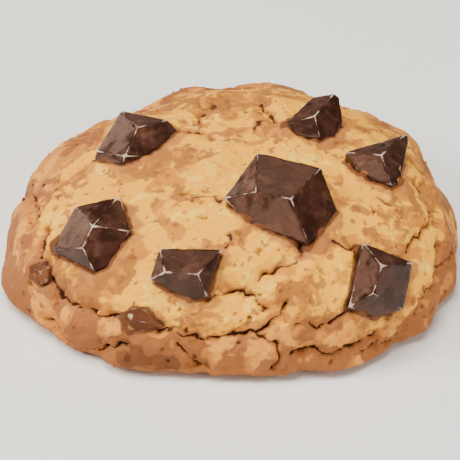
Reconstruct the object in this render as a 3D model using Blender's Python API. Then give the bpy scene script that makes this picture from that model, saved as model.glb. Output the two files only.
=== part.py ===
# Chocolate chunk cookie: a thick domed cookie with a rolled, cracked edge.
# Cut chocolate chunks and small milk chocolate chips sit in pockets of the dough.
# Metres, +Z up, the front towards -Y. The origin is the middle of the flat underside.

import math

import bmesh
import bpy
import numpy as np
from mathutils import Matrix, Vector, noise

MM = 0.001

# The dome, in millimetres
WIDTH = 90.0
DEPTH_SHARE = 0.96  # front to back over side to side
HEIGHT = 26.0
WAIST_HEIGHT = 2.5  # the widest level of the side
FOOT_SHARE = 0.905  # the flat underside's radius over the waist's
DOME_POWER = 2.6  # above 2, the top is flatter and the side steeper than an ellipsoid's
TOP_SHIFT = (8.0, -3.0)  # the top lies this far from the middle of the underside
CENTRING = (-0.26, -1.64)  # moves the finished cookie, rolls and all, to stand centred over the origin
MESH_RINGS = 40

# The plan outline: slow waves as (waves per turn, swell, crest in degrees)
PLAN_WAVES = ((1, 0.5, 306), (3, 1.2, 89))
# The rolled edge bulges between these creases, in degrees round from +X
ROLL_CREASES = (13, 38, 65, 98, 124, 148, 166, 191, 221, 236, 264, 288, 314, 333, 352)
ROLL_SWELL = 1.3
ROLL_FADE = 17.0  # the rolls die out this far up the skin from the waist

# Places on the skin are (east, north) on the dome's skin laid out flat from the top, in millimetres.
# Broad sags and swells of the dome: (east, north), height, radius
SWELLS = (
    ((-24.0, 33.0), -1.7, 8.0),
    ((20.0, 33.0), -1.4, 7.0),
    ((-42.0, 18.0), 1.3, 9.0),
    ((-54.0, -17.0), 1.3, 8.0),
    ((37.0, 16.0), 0.6, 9.0),
    ((39.0, -42.0), -0.6, 8.0),
    ((-45.0, -36.0), -1.0, 6.0),
    ((2.0, -58.0), -1.8, 15.0),
    ((-2.0, 36.0), -0.8, 8.0),
    ((-54.0, -6.0), -0.5, 8.0),
    ((-30.0, -14.0), 0.8, 8.0),
    ((-4.0, -27.0), 0.8, 7.0),
    ((14.0, -36.0), 0.9, 7.0),
    ((30.0, -16.0), 0.7, 7.0),
    ((4.0, 6.0), 0.5, 9.0),
    ((-13.0, -57.0), -1.6, 8.0),
    ((42.0, 5.0), -1.2, 6.0),
    ((-47.0, 7.0), -1.0, 6.0),
    ((-36.0, -48.0), -1.0, 7.0),
    ((50.0, -20.0), -0.6, 8.0),
    # the dough has risen behind the chunks
    ((0.0, -8.0), 1.6, 4.0),
    ((8.0, -10.5), 1.5, 4.0),
    ((12.0, 17.0), 1.8, 3.5),
    ((22.0, 3.5), 1.2, 3.5),
    ((-21.0, 12.5), 1.4, 3.5),
    ((-28.0, 15.5), 1.6, 3.0),
    ((-28.0, -13.5), 0.7, 3.0),
    ((-10.5, -28.5), 1.1, 3.0),
    ((28.0, -25.5), 0.8, 3.0),
)
LUMP_SIZE = 7.5
LUMP_HEIGHT = 0.75
CRUMB_SIZE = 2.6
CRUMB_HEIGHT = 0.28

# Cracks: a crease runs along each line, and the dough swells towards it on both sides.
CRACK_DEPTH = 2.4
CRACK_REACH = 1.3
LIP_HEIGHT = 0.55
LIP_DISTANCE = 3.2
LIP_WIDTH = 1.6
CRACKS = {
    "left_shoulder": ((-32, 5), (-35, 1.5), (-40, -3), (-42, -7), (-43, -11)),
    "left_notch": ((-50, 8), (-45, 4), (-42, -7)),
    "left_rim": ((-39, -14), (-39.5, -18), (-38.5, -26), (-36, -32), (-33, -35), (-28, -39), (-24, -40.5)),
    "front_rim": ((-16, -45), (-11, -47), (-6, -48.5), (-1, -48), (4, -47), (9, -43.5), (9, -40)),
    "front_roll_right": ((3, -47), (10, -49), (11.5, -52), (10, -56)),
    "front_roll_left": ((-12.5, -48.5), (-10.5, -51.5), (-7, -57)),
    "left_roll": ((-36, -46), (-30, -46), (-23, -46.5)),
    "left_fold": ((-43, -34), (-40, -36), (-39, -41)),
    "right_fold": ((13, -51), (17, -49.5), (22, -48.5), (28, -45), (32, -41)),
    "right_roll": ((30, -46), (36, -42), (40, -41)),
    "right_rim": ((40, -35), (39.5, -31), (42, -26), (42, -20), (40.5, -16)),
    "right_branch": ((42, -21.5), (47, -16)),
    "right_shoulder": ((30, -4), (35, -4), (37, -8), (36, -14.5), (33, -19), (31, -24)),
    "middle_gap": ((9, -27), (8.5, -32), (5, -33.5), (2, -36)),
    "front_gap": ((-7, -40), (-4, -38), (0, -38), (4.5, -42)),
    "right_gap": ((22.5, -39), (21, -41.5), (17.5, -44), (13, -44)),
    "top_left": ((-17, 10.5), (-13, 9), (-10.5, 6)),
    "top_back": ((-13.5, 13), (-11.5, 19.5), (-6, 23), (0, 20), (1, 11)),
    "back_left_rim": ((-36, 14), (-33, 24), (-25, 31), (-18, 36)),
    "back_rim": ((-10, 39), (-2, 42), (7, 40), (13, 43)),
    "back_roll": ((7, 40), (9, 47), (6, 55)),
    "back_right_rim": ((20, 38), (28, 33), (33, 25), (38, 20)),
    "back_left_roll": ((-25, 31), (-31, 38), (-33, 46)),
}

# Chunks and chips. A corner is (east, north, height over the skin) from the chunk's place, in millimetres.
# The outline corners stand round the chunk, and the crown corners are where its cut faces meet on top.
SUNK = 3.5  # how deep a chunk reaches into the dough
SUNK_SHARE = 0.8  # the buried end over the outline
CHUNK_EDGE = 0.35
FLAT_WITHIN = 10.0  # degrees under which two cut faces are one
POCKET_GAP = 0.3
CHUNKS = {
    "chunk_centre": {
        "place": (3.0, -16.5),
        "outline": (
            (-11, -1.2, 2),
            (-4.7, 9.1, 4),
            (7.1, 4.6, 4.6),
            (10.1, -2.3, 0.3),
            (4.6, -11.1, 0.3),
            (-6.4, -5.8, 0.3),
        ),
        "crown": ((-5.2, -2.6, 5.2), (1.3, -4.8, 5.6)),
    },
    "chunk_front": {
        "place": (-12.0, -34.0),
        "outline": (
            (-4.5, 4.3, 2.6),
            (7.1, 3.5, 2.5),
            (4.1, -4.9, 0.8),
            (0.8, -5.1, 0.3),
            (-6.3, -1.5, 2.1),
        ),
        "crown": ((-3.2, -0.8, 3.8), (2.9, -1.6, 4.1)),
    },
    "chunk_right": {
        "place": (27.0, -31.5),
        "outline": ((-4.7, 6.7, 2), (6.5, 3.4, 1.5), (4.5, -5.4, 1.1), (-1, -6.8, 0.3), (-7.5, -5.3, 1.4)),
        "crown": ((-2.1, 2.3, 4.3), (-3.8, -2.8, 3.9)),
    },
    "chunk_left": {
        "place": (-30.0, -20.0),
        "outline": (
            (-2.3, 5.6, 2.5),
            (6.2, 5.8, 1.8),
            (6.8, 4.9, 1.4),
            (8.6, -2.1, 0.8),
            (3.7, -8.1, 0.3),
            (1.2, -8.9, 0.8),
            (-8.2, -1.5, 0.5),
        ),
        "crown": ((2.6, -1.7, 4.6), (0.2, -5.4, 3.7)),
    },
    "chunk_back_left": {
        "place": (-25.0, 9.5),
        "outline": (
            (-2, 4.9, 4.3),
            (7, -0.2, 2.5),
            (8.6, -2.1, 0.7),
            (2.1, -9.1, 0.3),
            (-2.3, -10.7, 0.4),
            (-8.1, -5.7, 0.3),
        ),
        "crown": ((-7.4, -4.8, 1.7), (-1.4, -10.2, 1.9), (1.5, -3.5, 4)),
    },
    "chunk_back": {
        "place": (11.0, 14.0),
        "outline": (
            (-7.7, -6.9, 0.8),
            (-1.7, 1.5, 3.7),
            (2.3, 1.3, 5.1),
            (3.4, 1.2, 4.4),
            (4.5, -2.8, 1.3),
            (2.8, -7.2, 0.3),
            (-0.2, -10, 0.7),
            (-3.2, -9.5, 0.3),
        ),
        "crown": ((-1.5, -6.5, 3.6),),
    },
    "chunk_back_right": {
        "place": (24.0, 0.5),
        "outline": (
            (-8.3, -3.9, 1.5),
            (3.7, 5.8, 3.3),
            (4.9, 6.2, 2.8),
            (3, -7.7, 0.3),
            (1, -9.9, 0.8),
            (-4.8, -8.5, 0.3),
        ),
        "crown": ((-1.6, -4.2, 3.3),),
    },
    "chunk_rear": {
        "place": (-16.0, 49.0),
        "outline": ((-6, -2.4, 0.5), (-3.5, 4, 0.4), (4.5, 4.5, 0.4), (6.5, -1.5, 0.4), (1, -4.4, 0.3)),
        "crown": ((-1, 1.5, 2.3), (2.5, 1, 2.3)),
    },
}
CHIPS = {
    "chip_front": {
        "place": (-20.0, -43.0),
        "outline": (
            (-4, 1.5, 1.3),
            (-0.4, 3.2, 1.2),
            (1.8, 3, 1.2),
            (4.9, 0.1, 1.1),
            (1, -1.4, 0.4),
            (-1.6, -1.5, 0.3),
        ),
        "crown": ((-0.8, 1.5, 1.7), (1.1, 1.1, 1.6)),
    },
    "chip_left": {
        "place": (-39.5, -25.0),
        "outline": (
            (0, 2.3, 0.5),
            (2.1, 1, 0.5),
            (1.5, -1.8, 0.4),
            (0.1, -2.1, 0.4),
            (-2.5, 0, 0.4),
            (-2.1, 1.5, 0.5),
        ),
        "crown": ((0.4, 0.2, 1.2),),
    },
    "chip_rear": {
        "place": (24.0, 42.0),
        "outline": ((-3, 0.5, 0.5), (-1, 2.3, 0.4), (2, 2, 0.4), (3.2, -0.5, 0.6), (0.5, -2.2, 0.8)),
        "crown": ((-0.2, 0.2, 1.5), (1, 0, 1.5)),
    },
}
CHIP_SUNK = 2.0
CHIP_EDGE = 0.3

# Materials: base colour, roughness, metallic
BAKED_DOUGH = ((0.69, 0.42, 0.19, 1.0), 0.75, 0.0)
DARK_CHOCOLATE = ((0.075, 0.027, 0.016, 1.0), 0.25, 0.0)
MILK_CHOCOLATE = ((0.22, 0.09, 0.04, 1.0), 0.32, 0.0)

PROFILE_STEPS = 400
SLOPE_STEP = 0.05  # a short walk along the skin, to find its slope


def dome_profile():
    """The dome's side view from the top to the waist: radii, heights and lengths along the skin."""
    angles = np.linspace(math.pi / 2, 0, PROFILE_STEPS)
    radii = WIDTH / 2 * np.clip(np.cos(angles), 0, 1) ** (2 / DOME_POWER)
    heights = WAIST_HEIGHT + (HEIGHT - WAIST_HEIGHT) * np.sin(angles)
    steps = np.hypot(np.diff(radii), np.diff(heights))
    return radii, heights, np.concatenate([[0], np.cumsum(steps)])


PROFILE_RADII, PROFILE_HEIGHTS, PROFILE_LENGTHS = dome_profile()
WAIST_LENGTH = PROFILE_LENGTHS[-1]
SKIRT_LENGTH = math.hypot(WIDTH / 2 * (1 - FOOT_SHARE), WAIST_HEIGHT) * 1.1
SKIN_LENGTH = WAIST_LENGTH + SKIRT_LENGTH


def plan_radius(angle):
    """The plan outline without its rolls, in this direction, over the round one."""
    swell = 0
    for waves, height, crest in PLAN_WAVES:
        swell += height * math.cos(waves * (angle - math.radians(crest)))
    return 1 + (swell - 0.8) / (WIDTH / 2)


def skin(east, north):
    """The smooth skin's point for a place on the laid-out skin, both in millimetres."""
    along = math.hypot(east, north)
    angle = math.atan2(north, east)
    if along < WAIST_LENGTH:
        radius = np.interp(along, PROFILE_LENGTHS, PROFILE_RADII)
        height = np.interp(along, PROFILE_LENGTHS, PROFILE_HEIGHTS)
        lean = 1 - (2 * radius / WIDTH) ** 2
    else:
        turn = min(1, (along - WAIST_LENGTH) / SKIRT_LENGTH) * math.pi / 2
        radius = WIDTH / 2 * (FOOT_SHARE + (1 - FOOT_SHARE) * math.cos(turn))
        height = WAIST_HEIGHT * (1 - math.sin(turn))
        lean = 0
    radius *= plan_radius(angle)
    x = radius * math.cos(angle) + TOP_SHIFT[0] * lean + CENTRING[0]
    y = DEPTH_SHARE * radius * math.sin(angle) + TOP_SHIFT[1] * lean + CENTRING[1]
    return Vector((x, y, height))


def skin_frame(east, north):
    """A right-handed frame on the skin: its X runs east, its Y north and its Z out of the dough."""
    step_east = skin(east + SLOPE_STEP, north) - skin(east - SLOPE_STEP, north)
    step_north = skin(east, north + SLOPE_STEP) - skin(east, north - SLOPE_STEP)
    out = step_east.cross(step_north).normalized()
    right = (Vector((1, 0, 0)) - out * out.x).normalized()
    return right, out.cross(right), out


def line_distance(east, north, line):
    """How far a place is from a line of straight stretches."""
    nearest = math.inf
    for (x0, y0), (x1, y1) in zip(line, line[1:]):
        run_x, run_y = x1 - x0, y1 - y0
        share = ((east - x0) * run_x + (north - y0) * run_y) / (run_x**2 + run_y**2)
        share = min(1, max(0, share))
        nearest = min(nearest, math.hypot(east - x0 - share * run_x, north - y0 - share * run_y))
    return nearest


def roll_swell(angle):
    """How far the rolled edge stands out in this direction: a round arch between two creases."""
    degrees = math.degrees(angle) % 360
    starts = [crease for crease in ROLL_CREASES if crease <= degrees] or [ROLL_CREASES[-1] - 360]
    ends = [crease for crease in ROLL_CREASES if crease > degrees] or [ROLL_CREASES[0] + 360]
    share = (degrees - starts[-1]) / (ends[0] - starts[-1])
    return ROLL_SWELL * (math.sin(math.pi * share) ** 0.6 - 0.7)


def relief(east, north):
    """How far the dough stands out from the smooth skin, in millimetres."""
    along = math.hypot(east, north)
    angle = math.atan2(north, east)
    height = 0
    for (x, y), swell, radius in SWELLS:
        height += swell * math.exp(-(((east - x) ** 2 + (north - y) ** 2) / radius**2))
    height += LUMP_HEIGHT * noise.noise(Vector((east, north, 0)) / LUMP_SIZE)
    height += CRUMB_HEIGHT * noise.noise(Vector((east, north, 40)) / CRUMB_SIZE)
    height += roll_swell(angle) * math.exp(-((max(0, WAIST_LENGTH - along) / ROLL_FADE) ** 2))
    crack = min(line_distance(east, north, line) for line in CRACKS.values())
    height -= CRACK_DEPTH * math.exp(-crack / CRACK_REACH)
    height += LIP_HEIGHT * math.exp(-(((crack - LIP_DISTANCE) / LIP_WIDTH) ** 2))
    return height


def dough_point(east, north):
    """The dough's surface for a place on the laid-out skin, in metres. The foot stays flat."""
    base = skin(east, north)
    out = skin_frame(east, north)[2]
    foot_fade = min(1, base.z / WAIST_HEIGHT)
    point = base + out * relief(east, north) * (0.4 + 0.6 * foot_fade)
    point.z = base.z if base.z < 0.01 else max(point.z, 0.3 * base.z)
    return point * MM


def material(name, look):
    colour, roughness, metallic = look
    made = bpy.data.materials.new(name)
    made.use_nodes = True
    shader = made.node_tree.nodes["Principled BSDF"]
    shader.inputs["Base Color"].default_value = colour
    shader.inputs["Roughness"].default_value = roughness
    shader.inputs["Metallic"].default_value = metallic
    made.diffuse_color = colour
    return made


def add_object(name, bm, look):
    mesh = bpy.data.meshes.new(name)
    bm.to_mesh(mesh)
    bm.free()
    mesh.materials.append(look)
    made = bpy.data.objects.new(name, mesh)
    bpy.context.scene.collection.objects.link(made)
    return made


def laid_out_place(x, y):
    """A point of the flat unit hexagon as a place on the laid-out skin, in equal rings."""
    sixth = math.pi / 3
    angle = math.atan2(y, x) % math.tau
    sector = min(5, int(angle / sixth + 1e-6))
    within = angle - sector * sixth - sixth / 2
    ring = math.hypot(x, y) * math.cos(within) / math.cos(sixth / 2)
    side_share = 0.5 + math.hypot(x, y) * math.sin(within) / max(ring, 1e-9)
    turned = (sector + side_share) * sixth
    return ring * SKIN_LENGTH * math.cos(turned), ring * SKIN_LENGTH * math.sin(turned)


def dough(look):
    """The cookie without its chocolate: a hexagon of even triangles, laid over the dome and closed below."""
    bm = bmesh.new()
    bmesh.ops.create_circle(bm, cap_ends=True, cap_tris=True, segments=6, radius=1)
    corner = max(bm.verts, key=lambda vert: vert.co.length)
    turn = Matrix.Rotation(-math.atan2(corner.co.y, corner.co.x), 3, "Z")
    bmesh.ops.rotate(bm, cent=(0, 0, 0), matrix=turn, verts=bm.verts[:])
    bmesh.ops.subdivide_edges(bm, edges=bm.edges[:], cuts=MESH_RINGS - 1, use_grid_fill=True)
    for vert in bm.verts:
        vert.co = dough_point(*laid_out_place(vert.co.x, vert.co.y))
    foot = [edge for edge in bm.edges if edge.is_boundary]
    bmesh.ops.edgeloop_fill(bm, edges=foot)
    bmesh.ops.recalc_face_normals(bm, faces=bm.faces[:])
    made = add_object("dough", bm, look)
    made.data.shade_smooth()
    return made


def chunk_shape(shape, sunk, edge):
    """A cut piece of chocolate in its own frame: the hull of its corners and buried end, with eased edges."""
    bm = bmesh.new()
    outline = [Vector(corner) for corner in shape["outline"]]
    middle = sum(outline, Vector()) / len(outline)
    for corner in outline + [Vector(corner) for corner in shape["crown"]]:
        bm.verts.new(corner * MM)
    for corner in outline:
        buried = middle + (corner - middle) * SUNK_SHARE
        bm.verts.new(Vector((buried.x, buried.y, -sunk)) * MM)
    hull = bmesh.ops.convex_hull(bm, input=bm.verts[:])
    inside = set(hull["geom_interior"] + hull["geom_unused"])
    loose = [item for item in inside if isinstance(item, bmesh.types.BMVert)]
    bmesh.ops.delete(bm, geom=loose, context="VERTS")
    flat = math.radians(FLAT_WITHIN)
    bmesh.ops.dissolve_limit(bm, angle_limit=flat, verts=bm.verts[:], edges=bm.edges[:])
    bmesh.ops.bevel(
        bm, geom=bm.edges[:], offset=edge * MM, offset_type="OFFSET", segments=1, profile=0.5, affect="EDGES"
    )
    bmesh.ops.triangulate(bm, faces=bm.faces[:])
    bmesh.ops.recalc_face_normals(bm, faces=bm.faces[:])
    return bm


def place_on_skin(made, place):
    """Stands an object on the skin at a place, its X to the east and its Z out of the dough."""
    axes = Matrix(skin_frame(*place)).transposed()
    made.location = skin(*place) * MM
    made.rotation_euler = axes.to_euler()


def chocolate(name, shape, sunk, edge, look, pockets):
    """A piece of chocolate on the dough, and the cutter of its pocket, larger all round by the gap."""
    piece = add_object(name, chunk_shape(shape, sunk, edge), look)
    place_on_skin(piece, shape["place"])
    bm = chunk_shape(shape, sunk, edge)
    bm.normal_update()
    moves = {vert: vert.normal * vert.calc_shell_factor() * POCKET_GAP * MM for vert in bm.verts}
    for vert, move in moves.items():
        vert.co += move
    cutter = add_object(name + "_pocket", bm, look)
    place_on_skin(cutter, shape["place"])
    cutter.hide_render = True
    cutter.display_type = "WIRE"
    bpy.context.scene.collection.objects.unlink(cutter)
    pockets.objects.link(cutter)


def main():
    for old in list(bpy.data.objects):
        bpy.data.objects.remove(old)
    dark = material("dark_chocolate", DARK_CHOCOLATE)
    milk = material("milk_chocolate", MILK_CHOCOLATE)
    cookie = dough(material("baked_dough", BAKED_DOUGH))
    pockets = bpy.data.collections.new("pockets")
    bpy.context.scene.collection.children.link(pockets)
    for name, shape in CHUNKS.items():
        chocolate(name, shape, SUNK, CHUNK_EDGE, dark, pockets)
    for name, shape in CHIPS.items():
        chocolate(name, shape, CHIP_SUNK, CHIP_EDGE, milk, pockets)
    cut = cookie.modifiers.new("pockets", "BOOLEAN")
    cut.operation = "DIFFERENCE"
    cut.operand_type = "COLLECTION"
    cut.collection = pockets
    cut.solver = "EXACT"


main()
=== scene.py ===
import math

import bmesh
import bpy
import numpy as np
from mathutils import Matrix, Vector, noise


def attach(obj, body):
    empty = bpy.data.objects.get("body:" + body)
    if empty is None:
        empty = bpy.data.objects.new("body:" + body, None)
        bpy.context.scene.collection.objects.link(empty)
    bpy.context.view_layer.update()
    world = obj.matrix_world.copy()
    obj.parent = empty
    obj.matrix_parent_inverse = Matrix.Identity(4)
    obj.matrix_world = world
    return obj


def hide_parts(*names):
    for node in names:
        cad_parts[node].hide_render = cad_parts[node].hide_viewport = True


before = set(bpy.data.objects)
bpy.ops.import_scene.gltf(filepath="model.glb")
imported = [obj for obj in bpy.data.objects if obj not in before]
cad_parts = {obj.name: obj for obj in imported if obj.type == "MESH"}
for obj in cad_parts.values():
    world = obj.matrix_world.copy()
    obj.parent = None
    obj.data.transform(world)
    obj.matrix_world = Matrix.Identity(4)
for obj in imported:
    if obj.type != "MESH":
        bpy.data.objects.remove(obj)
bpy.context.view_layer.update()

mm = 0.001

# The dome. Lengths are in millimetres, and a place is (east, north) on its skin,
# laid out flat from the top.
dome = {
    "width": 90.0,
    "depthShare": 0.96,
    "height": 26.0,
    "waistHeight": 2.5,
    "footShare": 0.905,
    "skirtStretch": 1.1,  # the curve from waist to foot over a straight line
    "power": 2.6,
    "profileSteps": 400,
    "topShift": (8.0, -3.0),
    "centring": (-0.26, -1.64),
    "waves": ((1, 0.5, 306), (3, 1.2, 89)),
    "waveSink": 0.8,
    "rollCreases": (13, 38, 65, 98, 124, 148, 166, 191, 221, 236, 264, 288, 314, 333, 352),
    "rollSwell": 1.3,
    "rollRoundness": 0.6,
    "rollSink": 0.7,
    "rollFade": 17.0,
    "swells": (
        ((-24.0, 33.0), -1.7, 8.0),
        ((20.0, 33.0), -1.4, 7.0),
        ((-42.0, 18.0), 1.3, 9.0),
        ((-54.0, -17.0), 1.3, 8.0),
        ((37.0, 16.0), 0.6, 9.0),
        ((39.0, -42.0), -0.6, 8.0),
        ((-45.0, -36.0), -1.0, 6.0),
        ((2.0, -58.0), -1.8, 15.0),
        ((-2.0, 36.0), -0.8, 8.0),
        ((-54.0, -6.0), -0.5, 8.0),
        ((-30.0, -14.0), 0.8, 8.0),
        ((-4.0, -27.0), 0.8, 7.0),
        ((14.0, -36.0), 0.9, 7.0),
        ((30.0, -16.0), 0.7, 7.0),
        ((4.0, 6.0), 0.5, 9.0),
        ((-13.0, -57.0), -1.6, 8.0),
        ((42.0, 5.0), -1.2, 6.0),
        ((-47.0, 7.0), -1.0, 6.0),
        ((-36.0, -48.0), -1.0, 7.0),
        ((50.0, -20.0), -0.6, 8.0),
        # the dough has risen behind the chunks
        ((0.0, -8.0), 1.6, 4.0),
        ((8.0, -10.5), 1.5, 4.0),
        ((12.0, 17.0), 1.8, 3.5),
        ((22.0, 3.5), 1.2, 3.5),
        ((-21.0, 12.5), 1.4, 3.5),
        ((-28.0, 15.5), 1.6, 3.0),
        ((-28.0, -13.5), 0.7, 3.0),
        ((-10.5, -28.5), 1.1, 3.0),
        ((28.0, -25.5), 0.8, 3.0),
    ),
    "lumpSize": 7.5,
    "lumpHeight": 0.75,
}

# Cracks in the dough, each a line of places
cracks = {
    "depth": 1.0,  # the wide groove
    "reach": 1.1,
    "splitDepth": 0.7,  # the thin split down its middle
    "splitWidth": 0.26,
    "lipHeight": 0.55,
    "lipDistance": 3.2,
    "lipWidth": 1.6,
    "hairlineDepth": 0.5,
    "hairlineWidth": 0.26,
    "wander": 1.1,
    "wanderSize": 2.4,
    "fineWander": 0.3,
    "fineWanderSize": 0.8,
    "openingSize": 3.2,  # how soon a crack opens and closes along its line
    "wide": (
        ((-32, 5), (-35, 1.5), (-40, -3), (-42, -7), (-43, -11)),
        ((-50, 8), (-45, 4), (-42, -7)),
        ((-39, -14), (-39.5, -18), (-38.5, -26), (-36, -32), (-33, -35), (-28, -39), (-24, -40.5)),
        ((-16, -45), (-11, -47), (-6, -48.5), (-1, -48), (4, -47), (9, -43.5), (9, -40)),
        ((3, -47), (10, -49), (11.5, -52), (10, -56)),
        ((-12.5, -48.5), (-10.5, -51.5), (-7, -57)),
        ((-36, -46), (-30, -46), (-23, -46.5)),
        ((-43, -34), (-40, -36), (-39, -41)),
        ((13, -51), (17, -49.5), (22, -48.5), (28, -45), (32, -41)),
        ((30, -46), (36, -42), (40, -41)),
        ((40, -35), (39.5, -31), (42, -26), (42, -20), (40.5, -16)),
        ((42, -21.5), (47, -16)),
        ((30, -4), (35, -4), (37, -8), (36, -14.5), (33, -19), (31, -24)),
        ((9, -27), (8.5, -32), (5, -33.5), (2, -36)),
        ((-7, -40), (-4, -38), (0, -38), (4.5, -42)),
        ((22.5, -39), (21, -41.5), (17.5, -44), (13, -44)),
        ((-17, 10.5), (-13, 9), (-10.5, 6)),
        ((-13.5, 13), (-11.5, 19.5), (-6, 23), (0, 20), (1, 11)),
        ((-36, 14), (-33, 24), (-25, 31), (-18, 36)),
        ((-10, 39), (-2, 42), (7, 40), (13, 43)),
        ((7, 40), (9, 47), (6, 55)),
        ((20, 38), (28, 33), (33, 25), (38, 20)),
        ((-25, 31), (-31, 38), (-33, 46)),
    ),
    "hairline": (
        ((-3, 8), (-2, 10), (0.5, 10.5), (2.5, 9.5)),
        ((-13.5, -15), (-13, -13.5), (-10, -13.5), (-8, -16.5)),
        ((-23, -21.5), (-22, -21), (-20, -20.5), (-18.5, -20)),
        ((-21, -38), (-21, -39.5)),
        ((-6, -29.5), (-5, -28)),
        ((-30.5, -46), (-27, -46), (-23, -46.5)),
        ((15, -26), (18, -27), (20, -25)),
        ((-6, -26), (-4.5, -27.5)),
        ((22, -12), (25, -14), (27, -13)),
        ((-24, 22), (-20, 25), (-16, 24)),
        ((14, 26), (19, 24), (23, 26)),
        ((30, 14), (33, 11), (36, 12)),
    ),
}

# Chocolate pieces. A corner is (east, north, height over the skin) from the piece's place.
largestPiece = 20.0  # no piece reaches further than this
edgeRoundness = 0.6
unevenness = ((0.09, 3.0), (0.035, 1.1))  # of the cut faces: height and size
chunks = {
    "sunk": 3.5,
    "sunkShare": 0.8,
    "flatWithin": 10.0,  # degrees under which two cut faces are one
    "edgeWidth": 0.17,
    "glintReach": 1.8,  # how far from a corner the painted highlight on its edges widens
    "grain": 0.6,
    "nick": 0.14,
    "pieces": {
        "chunk_centre": {
            "place": (3.0, -16.5),
            "outline": (
                (-11, -1.2, 2),
                (-4.7, 9.1, 4),
                (7.1, 4.6, 4.6),
                (10.1, -2.3, 0.3),
                (4.6, -11.1, 0.3),
                (-6.4, -5.8, 0.3),
            ),
            "crown": ((-5.2, -2.6, 5.2), (1.3, -4.8, 5.6)),
        },
        "chunk_front": {
            "place": (-12.0, -34.0),
            "outline": (
                (-4.5, 4.3, 2.6),
                (7.1, 3.5, 2.5),
                (4.1, -4.9, 0.8),
                (0.8, -5.1, 0.3),
                (-6.3, -1.5, 2.1),
            ),
            "crown": ((-3.2, -0.8, 3.8), (2.9, -1.6, 4.1)),
        },
        "chunk_right": {
            "place": (27.0, -31.5),
            "outline": (
                (-4.7, 6.7, 2),
                (6.5, 3.4, 1.5),
                (4.5, -5.4, 1.1),
                (-1, -6.8, 0.3),
                (-7.5, -5.3, 1.4),
            ),
            "crown": ((-2.1, 2.3, 4.3), (-3.8, -2.8, 3.9)),
        },
        "chunk_left": {
            "place": (-30.0, -20.0),
            "outline": (
                (-2.3, 5.6, 2.5),
                (6.2, 5.8, 1.8),
                (6.8, 4.9, 1.4),
                (8.6, -2.1, 0.8),
                (3.7, -8.1, 0.3),
                (1.2, -8.9, 0.8),
                (-8.2, -1.5, 0.5),
            ),
            "crown": ((2.6, -1.7, 4.6), (0.2, -5.4, 3.7)),
        },
        "chunk_back_left": {
            "place": (-25.0, 9.5),
            "outline": (
                (-2, 4.9, 4.3),
                (7, -0.2, 2.5),
                (8.6, -2.1, 0.7),
                (2.1, -9.1, 0.3),
                (-2.3, -10.7, 0.4),
                (-8.1, -5.7, 0.3),
            ),
            "crown": ((-7.4, -4.8, 1.7), (-1.4, -10.2, 1.9), (1.5, -3.5, 4)),
        },
        "chunk_back": {
            "place": (11.0, 14.0),
            "outline": (
                (-7.7, -6.9, 0.8),
                (-1.7, 1.5, 3.7),
                (2.3, 1.3, 5.1),
                (3.4, 1.2, 4.4),
                (4.5, -2.8, 1.3),
                (2.8, -7.2, 0.3),
                (-0.2, -10, 0.7),
                (-3.2, -9.5, 0.3),
            ),
            "crown": ((-1.5, -6.5, 3.6),),
        },
        "chunk_back_right": {
            "place": (24.0, 0.5),
            "outline": (
                (-8.3, -3.9, 1.5),
                (3.7, 5.8, 3.3),
                (4.9, 6.2, 2.8),
                (3, -7.7, 0.3),
                (1, -9.9, 0.8),
                (-4.8, -8.5, 0.3),
            ),
            "crown": ((-1.6, -4.2, 3.3),),
        },
        "chunk_rear": {
            "place": (-16.0, 49.0),
            "outline": (
                (-6, -2.4, 0.5),
                (-3.5, 4, 0.4),
                (4.5, 4.5, 0.4),
                (6.5, -1.5, 0.4),
                (1, -4.4, 0.3),
            ),
            "crown": ((-1, 1.5, 2.3), (2.5, 1, 2.3)),
        },
    },
}
chips = {
    "sunk": 2.0,
    "sunkShare": 0.8,
    "flatWithin": 20.0,
    "edgeWidth": 0.18,
    "glintReach": 0.8,
    "grain": 0.5,
    "nick": 0.1,
    "pieces": {
        "chip_front": {
            "place": (-20.0, -43.0),
            "outline": (
                (-4, 1.5, 1.3),
                (-0.4, 3.2, 1.2),
                (1.8, 3, 1.2),
                (4.9, 0.1, 1.1),
                (1, -1.4, 0.4),
                (-1.6, -1.5, 0.3),
            ),
            "crown": ((-0.8, 1.5, 1.7), (1.1, 1.1, 1.6)),
            "paintedGlint": ((-1.0, 1.7, 1.6), 0.75),  # a painted glint: its place and radius
        },
        "chip_left": {
            "place": (-39.5, -25.0),
            "outline": (
                (0, 2.3, 0.5),
                (2.1, 1, 0.5),
                (1.5, -1.8, 0.4),
                (0.1, -2.1, 0.4),
                (-2.5, 0, 0.4),
                (-2.1, 1.5, 0.5),
            ),
            "crown": ((0.4, 0.2, 1.2),),
        },
        "chip_rear": {
            "place": (24.0, 42.0),
            "outline": (
                (-3, 0.5, 0.5),
                (-1, 2.3, 0.4),
                (2, 2, 0.4),
                (3.2, -0.5, 0.6),
                (0.5, -2.2, 0.8),
            ),
            "crown": ((-0.2, 0.2, 1.5), (1, 0, 1.5)),
        },
    },
}

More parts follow.
